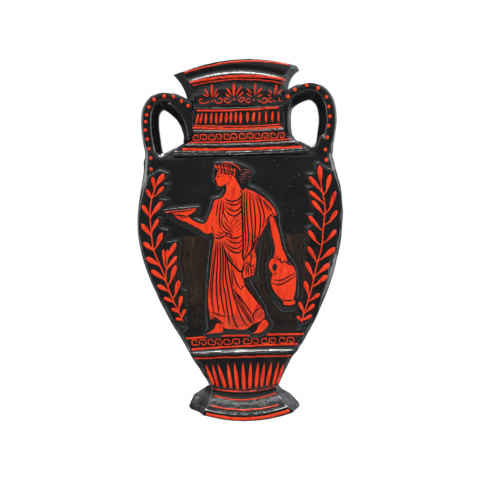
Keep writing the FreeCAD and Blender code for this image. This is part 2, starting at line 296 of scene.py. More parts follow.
# Clay. A grade has its mesh, its rounds of softening, and its ripple's height, grain and octaves
clay = {
    "body": {"voxel": 0.000265, "softening": 4, "ripple": 0.00007, "grain": 0.0045, "octaves": 1},
    "fine": {"voxel": 0.00013, "softening": 2, "ripple": 0.00008, "grain": 0.0016, "octaves": 2},
    "relief": {"voxel": 0.000146, "softening": 8, "ripple": 0.00012, "grain": 0.0016, "octaves": 2},
    "doubles": 1e-7, "touch": 0.00003, "sink": 0.0007, "flatBack": 0.00016, "reliefFall": 24,
    "shoulder": 738, "frontDepth": 0.003, "pool": 0.00022, "poolWidth": 0.0006,
}
# Webs fill the corners between handles, neck and shoulder. They start a little off the back
webBack = 0.0004
webs = [
    {"outer": [(-206, 872), (-188, 859), (-170, 841), (-159, 822), (-153, 803), (-151, 790), (-154, 776),
               (-138, 776), (-126, 800), (-116, 850), (-142, 880), (-180, 888)],
     "inner": [(-186, 884), (-170, 868), (-156, 852), (-146, 832), (-140, 808), (-139, 792), (-139, 780),
               (-130, 776), (-120, 800), (-112, 850), (-140, 869), (-166, 887)],
     "edge": 0.0028, "front": 0.0052},
    {"outer": [(206, 893), (182, 886), (165, 878), (155, 864), (150, 846), (149, 824), (150, 804),
               (153, 788), (128, 784), (118, 810), (114, 856), (150, 893), (186, 909)],
     "inner": [(196, 911), (176, 903), (158, 892), (146, 874), (141, 850), (140, 826), (141, 806),
               (144, 790), (126, 786), (116, 812), (112, 858), (150, 894), (184, 909)],
     "edge": 0.0028, "front": 0.005},
    {"outer": [(-165, 768), (-205, 748), (-214, 741), (-221, 742), (-229, 752), (-242, 765), (-246, 725),
               (-165, 722)],
     "inner": [(-165, 765), (-204, 745), (-213, 738), (-222, 739), (-231, 750), (-244, 762), (-246, 725),
               (-165, 722)],
     "edge": 0.0028, "front": 0.0055},
    {"outer": [(170, 775), (190, 764), (207, 757), (217, 762), (224, 778), (236, 790), (246, 725),
               (170, 722)],
     "inner": [(170, 772), (189, 761), (206, 754), (218, 759), (226, 775), (238, 787), (246, 725),
               (170, 722)],
     "edge": 0.0028, "front": 0.0055},
]
# How far the hand-finished outline leaves the even one on the left and on the right, by level
spread = {
    "vase": {
        "halfWidth": [(60, 91), (170, 139), (370, 244), (553, 287), (672, 270), (735, 260), (900, 275)],
        "left": [(60, -5), (110, -5), (139, 0), (166, 5), (222, 4), (278, 6), (333, 5), (361, 3), (500, 2),
                 (583, 2), (700, 2), (728, 6), (742, -2), (780, 0)],
        "right": [(60, -5), (110, -5), (139, -4), (166, -2), (194, 6), (222, 9), (278, 10), (333, 8),
                  (389, 3), (444, 0), (528, 0), (583, 5), (645, 10), (672, 8), (700, 6), (722, 5), (736, -1),
                  (748, -3), (790, 0)],
    },
    "foot": {
        "halfWidth": [(0, 110), (27, 130), (55, 145), (83, 117), (100, 104), (130, 98)],
        "left": [(6, 0), (26, 11), (46, 4), (62, 1), (83, -6), (100, -5), (130, -5)],
        "right": [(6, 0), (26, 6), (46, 1), (62, 0), (83, -6), (100, -5), (130, -5)],
    },
}
handleEdge = {"foot": 750, "middle": (190, 800), "depth": 0.0044, "facing": 0.6, "breadth": 3, "rounds": 12}
# Where a wet finger went over the body
wiped = [
    {"levels": (700, 775), "across": 150, "depth": -0.001, "rounds": 11},
    {"levels": (712, 768), "across": 225, "depth": 0.002, "rounds": 24},
    {"levels": (174, 205), "across": -1, "depth": 0.003, "rounds": 3},
]
# Each moulding's profile says by level how many millimetres it stands proud. Its levels run to the sides in
# arcs, which drop by so much at the half span, and it fades in with depth
mouldFade = {"from": 0.003, "over": 0.002, "unit": 0.001, "waver": (350, 0, 5500)}
mouldings = {
    "bead": {"drop": 3, "halfSpan": 145, "streaks": 0.5, "profile": [
        (178, 0), (182, 0.48), (185, 0.48), (189, 0.24), (192, 0.04), (196, -0.18), (200, -0.04), (204, 0),
    ]},
    "lip": {"drop": 21.7, "halfSpan": 138, "profile": [
        (860, -0.15), (870, -0.2), (877, -0.25), (886, 0), (942, 0), (947, 0.05), (953, 0.14), (957, 0.16),
        (960, 0.04), (964, -0.22), (967, -0.44), (970, -0.32), (973, -0.1), (976, -0.45), (1040, -0.45),
    ]},
    "neck": {"drop": -3.3, "halfSpan": 130, "profile": [
        (715, -0.35), (736, -0.35), (740, -0.26), (744, -0.3), (748, -0.12), (763, -0.12), (768, 0),
    ]},
    "foot": {"drop": -15, "halfSpan": 105, "profile": [
        (15, 0), (18, 0.18), (20, 0.17), (23, 0.12), (26, 0.14), (29, 0.2), (40, 0.2), (64, 0),
    ]},
}


def addWeb(shape, outer, inner, edge, front):
    # A flat-backed block of clay with a bevel from its outer outline to its front one
    rings = [[shape.verts.new(onDrawing(x, z, -depth)) for x, z in outline]
             for outline, depth in ((outer, webBack), (outer, edge), (inner, front))]
    shape.faces.new(rings[0])
    shape.faces.new(reversed(rings[2]))
    for back, ahead in zip(rings, rings[1:]):
        for index in range(len(outer)):
            shape.faces.new((back[index - 1], ahead[index - 1], ahead[index], back[index]))


def pressOn(shape, seat):
    # What sits on the seat is pressed a little into it
    for vertex in shape.verts:
        if seat.find_nearest(vertex.co)[3] < clay["touch"]:
            vertex.co.y += clay["sink"]


def fire(nodes, grade, seat=None, fillers=()):
    # Under the glaze the edges soften, and the surface takes the ripple of hand finishing
    solid = bmesh.new()
    for node in nodes:
        solid.from_mesh(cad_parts[node].data)
    for filler in fillers:
        addWeb(solid, **filler)
    bmesh.ops.remove_doubles(solid, verts=solid.verts, dist=clay["doubles"])
    bmesh.ops.recalc_face_normals(solid, faces=solid.faces)
    if seat:
        pressOn(solid, seat)
    draft = bpy.data.meshes.new("draft")
    solid.to_mesh(draft)
    solid.free()
    holder = holderOf(draft)
    skin = holder.modifiers.new("skin", "REMESH")
    skin.mode = "VOXEL"
    skin.voxel_size = clay[grade]["voxel"]
    soften = holder.modifiers.new("soften", "SMOOTH")
    soften.factor = 0.5
    soften.iterations = clay[grade]["softening"]
    ripple = bpy.data.textures.new(grade + "Ripple", "CLOUDS")
    ripple.noise_scale = clay[grade]["grain"]
    ripple.noise_depth = clay[grade]["octaves"]
    uneven = holder.modifiers.new("uneven", "DISPLACE")
    uneven.texture = ripple
    uneven.texture_coords = "LOCAL"
    uneven.strength = clay[grade]["ripple"]
    mesh = meshOf(holder)
    for vertex in mesh.vertices:
        if vertex.co.y > -clay["flatBack"]:
            vertex.co.y = 0  # the back stays flat
    return mesh


def smoothPart(mesh, wanted, rounds, breadth=0, sideways=True):
    # Smooths what is wanted, and what lies beside it by up to that many meshes
    shape = bmesh.new()
    shape.from_mesh(mesh)
    chosen = {vertex for vertex in shape.verts if wanted(vertex)}
    for _ in range(breadth):
        chosen |= {edge.other_vert(vertex) for vertex in chosen for edge in vertex.link_edges}
    for _ in range(rounds):
        bmesh.ops.smooth_vert(shape, verts=list(chosen), factor=0.5, use_axis_x=sideways, use_axis_y=True,
                              use_axis_z=sideways)
    shape.to_mesh(mesh)
    shape.free()


def outsideHandle(vertex):
    # On a handle's outer side, near its front
    if levelOf(vertex.co) < handleEdge["foot"] or vertex.co.y > -handleEdge["depth"]:
        return False
    across, up = handleEdge["middle"]
    outward = vertex.co - onDrawing(across if vertex.co.x > 0 else -across, up)
    outward.y = 0
    return vertex.normal.dot(outward.normalized()) > handleEdge["facing"]


def spreadOut(mesh, table):
    for vertex in mesh.vertices:
        level, across = levelOf(vertex.co), vertex.co.x / drawing["step"]
        reach = min(1, abs(across) / max(1, along(table["halfWidth"], level))) ** 4
        if across > 0:
            vertex.co.x += along(table["right"], level) * drawing["step"] * reach
        else:
            vertex.co.x -= along(table["left"], level) * drawing["step"] * reach


def mould(mesh, drop, halfSpan, profile, streaks=0.0):
    for vertex in mesh.vertices:
        share = min(1, (-mouldFade["from"] - vertex.co.y) / mouldFade["over"])
        if share > 0:
            level = levelOf(vertex.co) + drop * (vertex.co.x / drawing["step"] / halfSpan) ** 2
            uneven = 1 + streaks * waver(vertex.co * Vector(mouldFade["waver"]))
            vertex.co.y -= along(profile, level) * mouldFade["unit"] * share * uneven


def poolRound(mesh, raised):
    # Glaze pools round the raised pictures
    for vertex in mesh.vertices:
        if vertex.co.y < -clay["frontDepth"]:
            distance = raised.find_nearest(vertex.co, clay["poolWidth"])[3]
            if distance is not None:
                vertex.co.y -= clay["pool"] * (1 - distance / clay["poolWidth"]) ** 2


def cutAt(whole, level, keepAbove, side=0):
    # One part of a skin, cut level and closed, and on one side of the centre line where a side is given.
    # Near the cut it keeps the whole skin's shading, so that no seam shows
    part = bmesh.new()
    part.from_mesh(whole)
    cuts = [(Vector((0, 0, level)), Vector((0, 0, -1 if keepAbove else 1)))]
    if side:
        cuts.append((Vector((0, 0, 0)), Vector((-side, 0, 0))))
    for point, normal in cuts:
        everything = part.verts[:] + part.edges[:] + part.faces[:]
        cut = bmesh.ops.bisect_plane(part, geom=everything, plane_co=point, plane_no=normal,
                                     clear_outer=True)
        rims = [item for item in cut["geom_cut"] if isinstance(item, bmesh.types.BMEdge)]
        if rims:
            for cap in bmesh.ops.holes_fill(part, edges=rims)["faces"]:
                cap.material_index = 1
    result = bpy.data.meshes.new("part")
    part.to_mesh(result)
    part.free()
    shaded = skinOf(whole)
    shading = [vertex.normal.copy() for vertex in result.vertices]
    for index, vertex in enumerate(result.vertices):
        if abs(vertex.co.z - level) < 2 * clay["body"]["voxel"]:
            place, _, nearest, _ = shaded.find_nearest(vertex.co)
            corners = [whole.vertices[corner] for corner in whole.polygons[nearest].vertices]
            weights = poly_3d_calc([corner.co for corner in corners], place)
            blended = [corner.normal * weight for corner, weight in zip(corners, weights)]
            shading[index] = sum(blended, Vector())
    normals = []
    for face in result.polygons:
        normals += [face.normal.copy() if face.material_index else shading[index] for index in face.vertices]
        face.material_index = 0
    result.shade_smooth()
    result.normals_split_custom_set(normals)
    return result


def glaze(node, mesh):
    first, *others = node.split("_")
    finish(first + "".join(others).title() + "Glazed", mesh, blackGlaze, "black_glaze", node)


body = fire(["belly", "handle_left", "handle_right"], "body", fillers=webs)
smoothPart(body, outsideHandle, handleEdge["rounds"], handleEdge["breadth"])
spreadOut(body, spread["vase"])
for patch in wiped:
    low, high = patch["levels"]
    smoothPart(body, lambda vertex: (
        low < levelOf(vertex.co) < high
        and abs(vertex.co.x) > patch["across"] * drawing["step"]
        and vertex.co.y < -patch["depth"]
    ), patch["rounds"])
mould(body, **mouldings["bead"])

turned = {node: fire([node], "fine") for node in ("neck", "lip", "foot")}
for node, mesh in turned.items():
    mould(mesh, **mouldings[node])
spreadOut(turned["foot"], spread["foot"])

bellyClay = skinOf(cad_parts["belly"].data)
pictures = {node: fire([node], "relief", bellyClay)
            for node in ("laurel_left", "laurel_right", "figure_sprig")}
for mesh in pictures.values():
    smoothPart(mesh, lambda vertex: True, clay["reliefFall"], sideways=False)
    spreadOut(mesh, spread["vase"])
raised = skinOf(*pictures.values())
poolRound(body, raised)

shoulder = onDrawing(0, clay["shoulder"]).z
vaseMeshes = {
    "belly": cutAt(body, shoulder, False), "handle_left": cutAt(body, shoulder, True, -1),
    "handle_right": cutAt(body, shoulder, True, 1), **turned, **pictures,
}
for node, mesh in vaseMeshes.items():
    glaze(node, mesh)
vaseSkin = skinOf(*vaseMeshes.values())
print("clay fired")

# Brushwork
brushLook = {
    "flatness": 0.3, "lift": 0.000015, "steps": 4, "jitter": 0.35, "uneven": (0.92, 1.08),
    "dotUneven": (0.95, 1.05),
    "bandSteps": 6, "bandPoint": 16, "bandUneven": (0.86, 1.12),
    "ahead": -0.03, "pulls": (1.0, 0.985, 0.97, 0.95), "doubles": 2e-7,
}
plateLook = {"half": 0.00005, "edge": 0.00004, "slice": 0.0007, "cornerTurn": 50, "steps": 5}


def frontOf(skin, x, z):
    # How far forward the surface stands there, or just inside its edge
    for pull in brushLook["pulls"]:
        hit = skin.ray_cast(Vector((x * pull, brushLook["ahead"], z)), Vector((0, 1, 0)))[0]
        if hit:
            return hit.y
    return 0.0


def layOn(mesh, skin, flatness, lift):
    # The mesh is made on the centre plane: what lies in front of it ends up proud of the surface
    for vertex in mesh.vertices:
        vertex.co.y = frontOf(skin, vertex.co.x, vertex.co.z) + vertex.co.y * flatness - lift
    shape = bmesh.new()
    shape.from_mesh(mesh)
    bmesh.ops.remove_doubles(shape, verts=shape.verts, dist=brushLook["doubles"])
    bmesh.ops.recalc_face_normals(shape, faces=shape.faces)
    shape.to_mesh(mesh)
    shape.free()
    return mesh


def brush(strokes, skin, steps, flatness):
    # Each stroke is a row of (across, up, half width): a round bead of slip, pressed flat on the surface
    curve = bpy.data.curves.new("strokes", "CURVE")
    curve.dimensions = "3D"
    curve.bevel_depth = drawing["step"]
    curve.bevel_resolution = 2
    curve.resolution_u = steps
    curve.use_fill_caps = True
    for stroke in strokes:
        spline = curve.splines.new("BEZIER")
        spline.bezier_points.add(len(stroke) - 1)
        for point, (x, z, half) in zip(spline.bezier_points, stroke):
            point.co = onDrawing(x, z)
            point.radius = half
            point.handle_left_type = point.handle_right_type = "AUTO"
    return layOn(meshOf(holderOf(curve)), skin, flatness, brushLook["lift"])


def flatArea(outline):
    curve = bpy.data.curves.new("area", "CURVE")
    curve.dimensions = "2D"
    curve.fill_mode = "BOTH"
    curve.extrude = plateLook["half"]
    curve.bevel_depth = plateLook["edge"]
    curve.bevel_resolution = 1
    curve.offset = -plateLook["edge"]
    curve.resolution_u = plateLook["steps"]
    spline = curve.splines.new("BEZIER")
    spline.use_cyclic_u = True
    spline.bezier_points.add(len(outline) - 1)
    places = [onDrawing(x, z) for x, z in outline]
    for index, point in enumerate(spline.bezier_points):
        before, here, after = places[index - 1], places[index], places[(index + 1) % len(places)]
        turn = math.degrees((here - before).angle(after - here))
        point.co = (here.x, here.z, 0)
        kind = "VECTOR" if turn > plateLook["cornerTurn"] else "AUTO"
        point.handle_left_type = point.handle_right_type = kind
    mesh = meshOf(holderOf(curve))
    for vertex in mesh.vertices:
        x, z, y = vertex.co
        vertex.co = (x, -y, z)
    return mesh


def plate(outlines, skin):
    # Filled areas of slip: flat shapes with rounded rims, sliced finely so that they follow the surface
    shape = bmesh.new()
    for outline in outlines:
        shape.from_mesh(flatArea(outline))
    bmesh.ops.remove_doubles(shape, verts=shape.verts, dist=clay["doubles"])
    for axis in (0, 2):
        places = [vertex.co[axis] for vertex in shape.verts]
        level = min(places) + plateLook["slice"]
        while level < max(places):
            point, normal = Vector((0, 0, 0)), Vector((0, 0, 0))
            point[axis], normal[axis] = level, 1
            everything = shape.verts[:] + shape.edges[:] + shape.faces[:]
            bmesh.ops.bisect_plane(shape, geom=everything, plane_co=point, plane_no=normal)
            level += plateLook["slice"]
    mesh = bpy.data.meshes.new("plate")
    shape.to_mesh(mesh)
    shape.free()
    return layOn(mesh, skin, 1.0, 0.0)


def band(half, *points):
    # A line drawn round the vase through two to four places, a little uneven
    first, last = points[0][0], points[-1][0]
    count = max(4, round((last - first) / brushLook["bandPoint"]))
    stroke = []
    for index in range(count + 1):
        x = first + (last - first) * index / count
        z = sum(pz * math.prod((x - qx) / (px - qx) for qx, _ in points if qx != px) for px, pz in points)
        jitter = rng.gauss(0, brushLook["jitter"])
        stroke.append((x, z + jitter, half * rng.uniform(*brushLook["bandUneven"])))
    return stroke


def leaf(base, tip, half, widths=(0.2, 0.8, 1.0, 0.62, 0.08)):
    # One press of a pointed brush
    return [(base[0] + (tip[0] - base[0]) * share, base[1] + (tip[1] - base[1]) * share,
             half * width * rng.uniform(*brushLook["uneven"]))
            for share, width in zip((0, 0.28, 0.58, 0.85, 1), widths)]


def dot(x, z, half):
    return [(x, z + half * rise, half * width * rng.uniform(*brushLook["dotUneven"]))
            for rise, width in ((-1, 0.05), (-0.72, 0.7), (0, 1), (0.72, 0.7), (1, 0.05))]


def line(half, *points, taper=0.6):
    # A freehand line, thinner at its ends
    last = len(points) - 1
    return [(x, z, half * (taper if index in (0, last) else 1) * rng.uniform(*brushLook["uneven"]))
            for index, (x, z) in enumerate(points)]


def key(left, right, low, high, half=1.35, shake=0.3):
    # One unit of the running key: a hook, along the foot, up, over and down to the next hook
    middle, wide = (left + right) / 2, (right - left) / 2
    level, tall = (low + high) / 2, (high - low) / 2
    path = ((-0.33, 0.0), (-0.33, 0.78), (-0.6, 1.0), (-0.9, 0.85), (-1.0, 0.0), (-0.9, -0.85), (-0.6, -1.0),
            (-0.15, -0.95), (0.07, -0.6), (0.1, 0.5), (0.25, 0.95), (0.6, 1.0), (0.92, 0.85), (1.0, 0.0),
            (0.92, -0.8), (0.66, -0.98), (0.46, -0.7), (0.46, -0.1))
    return line(half, *[(middle + x * wide + rng.gauss(0, shake), level + z * tall + rng.gauss(0, shake))
                        for x, z in path], taper=0.8)


def paint(name, strokes, skin=vaseSkin, material=redSlip, steps=brushLook["steps"],
          flatness=brushLook["flatness"]):
    slot = "black_glaze" if material in (blackGlaze, ink) else "red_figure"
    finish(name, brush(strokes, skin, steps, flatness), material, slot)


def paintBands(name, bands):
    paint(name, [band(half, *points) for half, *points in bands], steps=brushLook["bandSteps"])


# Lip
lip = {
    "lines": [
        (1.9, (-143, 967), (-50, 987), (60, 993), (148, 981)),
        (3.3, (-130, 939), (0, 952), (138, 941)),
        (1.5, (-122, 931), (0, 944), (131, 931)),
    ],
    "petal": (0.3, 0.7, 1.0, 0.8, 0.12), "fullness": 0.84, "dot": 2.2, "scroll": 1.35, "scrollTaper": 0.85,
    "palmettes": [
        {"petals": [((-69, 897), (-69, 933), 4.6), ((-78, 903), (-88, 922), 3.2),
                    ((-64, 900), (-54, 922), 3.2), ((-80, 900), (-95, 908), 2.6),
                    ((-60, 898), (-50, 908), 2.6)],
         "dot": (-69, 888),
         "scrolls": [[(-77, 887), (-85, 883), (-95, 882), (-103, 886), (-103, 893), (-95, 893)],
                     [(-63, 892), (-58, 883), (-48, 881), (-41, 888), (-45, 894), (-52, 893)]]},
        {"petals": [((-9, 899), (-7, 935), 5.4), ((-15, 903), (-28, 922), 3.6), ((-2, 903), (13, 927), 3.6),
                    ((-18, 896), (-31, 907), 2.7), ((3, 896), (19, 911), 2.7)],
         "dot": (-8, 890),
         "scrolls": [[(-15, 887), (-25, 881), (-33, 886), (-32, 893), (-23, 892)],
                     [(2, 891), (10, 883), (18, 886), (20, 892), (13, 895), (9, 891)]]},
        {"petals": [((50, 900), (52, 934), 4.6), ((41, 905), (28, 920), 3.2), ((55, 903), (71, 922), 3.4),
                    ((41, 897), (27, 906), 2.6), ((57, 896), (70, 902), 2.6)],
         "dot": (47, 887),
         "scrolls": [[(38, 883), (31, 880), (25, 886), (30, 891), (36, 891)],
                     [(58, 888), (66, 882), (75, 878), (83, 883), (81, 890), (74, 891), (71, 887)]]},
        {"petals": [((105, 900), (111, 928), 4.6), ((98, 903), (90, 915), 2.8),
                    ((112, 901), (124, 914), 3.0), ((95, 897), (86, 901), 2.2)],
         "dot": (105, 883),
         "scrolls": [[(98, 890), (90, 892), (87, 886), (92, 881), (100, 883)],
                     [(118, 893), (117, 884), (125, 883)]]},
    ],
}
paintBands("lipLines", lip["lines"])
palmettes = []
for palmette in lip["palmettes"]:
    palmettes += [leaf(base, tip, half * lip["fullness"], lip["petal"])
                  for base, tip, half in palmette["petals"]]
    palmettes.append(dot(*palmette["dot"], lip["dot"]))
    palmettes += [line(lip["scroll"], *points, taper=lip["scrollTaper"]) for points in palmette["scrolls"]]
paint("palmettes", palmettes)
print("lip painted")

# Neck
neck = {
    "lines": [
        (2.4, (-112, 862), (0, 860), (115, 865)),
        (1.4, (-122, 821), (0, 815), (118, 818)),
        (2.7, (-125, 815), (0, 808), (122, 811)),
        (1.9, (-142, 774), (0, 772), (150, 776)),
        (3.1, (-155, 755), (0, 751), (176, 754)),
    ],
    "tongueTops": (-108, -97, -86, -71, -58, -43, -30, -17, -4, 10, 29, 47, 62, 80, 98, 114),
    "tongueFeet": (-115, -104, -89, -74, -59, -48, -32, -19, -5, 8, 27, 43, 60, 79, 96, 114),
    "tongueLevels": (853, 824), "tongueWaver": 2, "tongue": (0.5, 0.95, 1.0, 0.75, 0.25),
    "tongueHalf": {"middle": 3.6, "outer": 3.0}, "middle": 60,
    "keyLevels": (779.5, 793.5),
    "key": ((-124, -87), (-80, -46), (-38, -4), (4, 42), (47, 83), (90, 128)),
}
paintBands("neckLines", neck["lines"])
tongues = []
for top, foot in zip(neck["tongueTops"], neck["tongueFeet"]):
    high, low = neck["tongueLevels"]
    low += rng.uniform(-neck["tongueWaver"], neck["tongueWaver"])
    half = neck["tongueHalf"]["middle" if abs(top) < neck["middle"] else "outer"]
    tongues.append(leaf((top, high), (foot, low), half, neck["tongue"]))
paint("neckTongues", tongues)
paint("neckKey", [key(left, right, *neck["keyLevels"]) for left, right in neck["key"]])
print("neck painted")

# Belly
belly = {
    "lines": [
        (2.8, (-158, 231), (-130, 232), (-104, 233)),
        (2.6, (-58, 236), (-10, 236), (18, 235)),
        (2.7, (66, 236), (120, 235), (168, 235)),
        (2.7, (-143, 200), (0, 206), (150, 207)),
        (1.9, (-138, 174), (0, 176), (132, 175)),
        (1.9, (-92, 91), (0, 80), (88, 91)),
    ],
    "keyLevels": (212, 226),
    "key": ((-142, -104), (-97, -60), (-54, -10), (1, 41), (51, 89), (100, 140)),
    "rayTops": ((-106, 157), (-88, 158), (-72, 157), (-45, 158), (-26, 160), (-3, 160), (19, 160), (40, 159),
                (57, 157), (77, 158), (97, 158), (110, 153)),
    "rayFeet": ((-85, 100), (-73, 95), (-53, 92), (-37, 90), (-19, 86), (-1, 85), (15, 88), (32, 90),
                (47, 92), (63, 94), (80, 96), (92, 97)),
    "ray": (0.7, 1.0, 0.9, 0.5, 0.1), "rayHalf": {"middle": 5.4, "outer": 4.0}, "middle": 80,
}
paintBands("bellyLines", belly["lines"])
paint("bellyKey", [key(left, right, *belly["keyLevels"]) for left, right in belly["key"]])
rays = []
for foot, top in zip(belly["rayFeet"], belly["rayTops"]):
    half = belly["rayHalf"]["middle" if abs(top[0]) < belly["middle"] else "outer"]
    rays.append(leaf(foot, top, half, belly["ray"]))
paint("rays", rays)

# Foot
footLines = [
    (1.6, (-85, 70), (0, 57), (88, 73)),
    (1.6, (-94, 45), (0, 31), (93, 42)),
    (3.9, (-107, 23), (0, 7), (122, 26)),
]
paintBands("footLines", footLines)
print("belly and foot painted")

# Small beads of glaze that stand on the field
glazeBeads = {
    "count": 24, "across": (-170, 200, 150), "up": (330, 728), "half": (1.6, 3.0), "flatness": 0.9,
    "depth": 0.007, "clear": 0.0012,
}
beads = []
while len(beads) < glazeBeads["count"]:
    x, z = rng.triangular(*glazeBeads["across"]), rng.uniform(*glazeBeads["up"])
    if not raised.find_nearest(onDrawing(x, z, -glazeBeads["depth"]), glazeBeads["clear"])[0]:
        beads.append(dot(x, z, rng.uniform(*glazeBeads["half"])))
paint("glazeBeads", beads, material=blackGlaze, flatness=glazeBeads["flatness"])

# Handles
handleDots = {
    "Left": {"half": (4.6, 5.4), "places": (
        (-136, 877), (-154, 890), (-176, 903), (-202, 905), (-230, 896), (-245, 876), (-252, 854),
        (-255, 835), (-256, 812), (-252, 787), (-248, 760), (-243, 734), (-243, 703),
    )},
    "Right": {"half": (4.8, 6.0), "places": (
        (142, 895), (162, 914), (195, 925), (226, 916), (249, 891), (255, 864), (257, 837), (253, 811),
        (248, 779), (242, 745), (244, 716),
    )},
}
for side, row in handleDots.items():
    paint("handleDots" + side, [dot(x, z, rng.uniform(*row["half"])) for x, z in row["places"]])
print("handles painted")

# Laurels. A stem has its half width, its places and its leaves, and a leaf its base, tip and half width
laurels = {
    "Left": [
        {"half": 1.7, "taper": 0.9,
         "stem": ((-165, 278), (-176, 305), (-190, 335), (-200, 362), (-209, 390), (-217, 415), (-230, 448),
                  (-242, 480), (-246, 520), (-249, 570), (-245, 612), (-233, 650), (-229, 662)),
         "leaves": (
             ((-168, 284), (-185, 287), 4.0), ((-177, 304), (-197, 316), 4.4),
             ((-193, 334), (-217, 346), 4.6), ((-205, 364), (-234, 381), 5.8),
             ((-218, 399), (-250, 423), 6.2), ((-228, 436), (-263, 458), 6.0),
             ((-243, 478), (-270, 500), 5.6), ((-248, 518), (-274, 552), 5.8),
             ((-252, 574), (-270, 604), 5.4), ((-244, 622), (-257, 647), 4.8),
             ((-236, 652), (-239, 681), 4.8), ((-170, 288), (-158, 313), 4.4),
             ((-175, 318), (-167, 350), 5.0), ((-184, 355), (-173, 393), 6.0),
             ((-196, 392), (-181, 435), 6.0), ((-232, 490), (-217, 525), 6.0),
             ((-243, 535), (-226, 564), 5.2), ((-242, 578), (-214, 612), 6.2),
             ((-229, 632), (-210, 653), 4.6), ((-228, 659), (-207, 688), 6.0),
         )},
        {"half": 1.4, "taper": 0.6,
         "stem": ((-209, 385), (-209, 400), (-208, 420), (-205, 445)),
         "leaves": (
             ((-206, 425), (-178, 460), 5.0), ((-204, 455), (-179, 497), 5.8),
             ((-206, 442), (-202, 479), 4.2), ((-213, 440), (-214, 480), 4.2),
         )},
    ],
    "Right": [
        {"half": 1.7, "taper": 0.9,
         "stem": ((161, 268), (173, 300), (186, 338), (197, 375), (205, 410), (215, 445), (224, 475),
                  (228, 512), (233, 550), (236, 575), (234, 605), (227, 645), (225, 660)),
         "leaves": (
             ((160, 274), (151, 285), 3.8), ((168, 298), (157, 325), 4.8), ((184, 345), (175, 382), 5.4),
             ((197, 396), (179, 435), 5.4), ((206, 440), (186, 477), 5.4), ((209, 490), (188, 522), 5.4),
             ((216, 530), (190, 562), 5.8), ((226, 572), (201, 604), 5.6), ((225, 602), (194, 630), 5.4),
             ((223, 635), (194, 670), 6.4), ((226, 655), (224, 700), 6.0), ((165, 273), (193, 287), 4.2),
             ((180, 299), (200, 317), 4.8), ((193, 330), (216, 346), 4.8), ((207, 372), (238, 396), 6.0),
             ((214, 403), (246, 429), 5.8), ((227, 445), (262, 472), 6.2), ((240, 493), (266, 521), 5.6),
             ((249, 545), (270, 575), 5.4), ((250, 582), (267, 629), 5.8), ((242, 632), (254, 676), 5.8),
         )},
    ],
}
laurelLeaf = {"widths": (0.32, 0.7, 1.0, 0.85, 0.12), "fullness": 1.12, "stalk": 1.2, "drop": 0.35}


def leafOnStem(stem, base, tip, half):
    # A laurel leaf springs from the stem a little below its base and is broadest near its tip
    level = base[1] - laurelLeaf["drop"] * (tip[1] - base[1])
    below = max((point for point in stem if point[1] <= level), key=lambda point: point[1], default=stem[0])
    above = min((point for point in stem if point[1] > level), key=lambda point: point[1], default=stem[-1])
    share = (level - below[1]) / max(1, above[1] - below[1])
    root = (below[0] + (above[0] - below[0]) * share, level, laurelLeaf["stalk"])
    return [root] + leaf(base, tip, half * laurelLeaf["fullness"], laurelLeaf["widths"])


for side, stems in laurels.items():
    branch = [line(each["half"], *each["stem"], taper=each["taper"]) for each in stems]
    branch += [leafOnStem(each["stem"], *place) for each in stems for place in each["leaves"]]
    paint("laurel" + side + "Painted", branch)
print("laurels painted")

